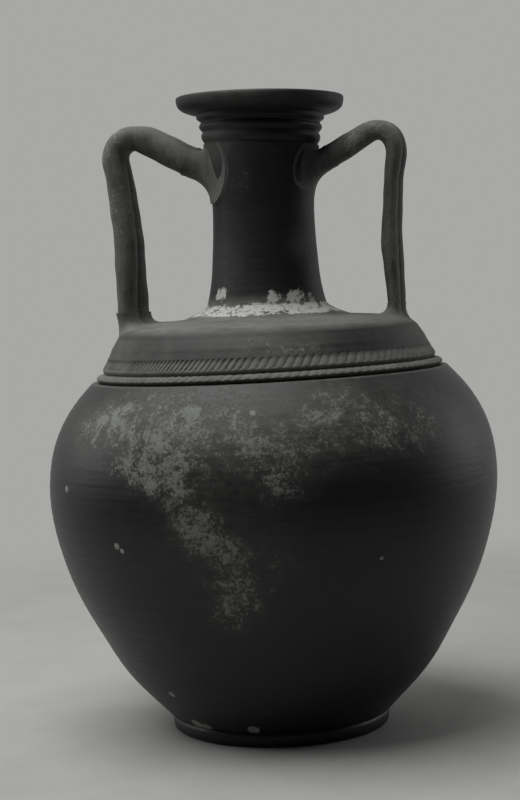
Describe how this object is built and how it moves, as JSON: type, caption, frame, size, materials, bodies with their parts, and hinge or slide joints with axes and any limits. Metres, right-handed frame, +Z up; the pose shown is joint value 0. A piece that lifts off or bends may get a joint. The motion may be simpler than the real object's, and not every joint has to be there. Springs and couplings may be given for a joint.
{
  "type": "two-handled jar",
  "caption": "Dark burnished pottery jar with a ringed foot, full belly, nicked ledge, tall waisted neck, heavy round rim and angular handles from neck to shoulder.",
  "frame": {"origin": "centre of the face that the foot ring rests on, on the jar's axis", "axes": "+Z up the jar's axis; the handles lie along X, the thinner one on +X"},
  "size_m": [0.327, 0.327, 0.46],
  "materials": {
    "burnished_pottery": "dark burnished pottery with a worn sheen and pale lime crust",
    "dusty_pottery": "dark pottery under pale dust, matt",
    "handle_pottery": "dark hand-worked pottery, matt, with pale deposits"
  },
  "bodies": {
    "root": {"foot_ring": "burnished_pottery", "belly": "burnished_pottery", "lower_nicked_band": "dusty_pottery", "upper_nicked_band": "dusty_pottery", "shoulder": "dusty_pottery", "neck": "burnished_pottery", "neck_collar": "burnished_pottery", "rim": "burnished_pottery", "left_handle": "handle_pottery", "right_handle": "handle_pottery", "left_neck_pad": "handle_pottery", "right_neck_pad": "handle_pottery", "left_shoulder_pad": "handle_pottery", "right_shoulder_pad": "handle_pottery"}
  },
  "joints": []
}
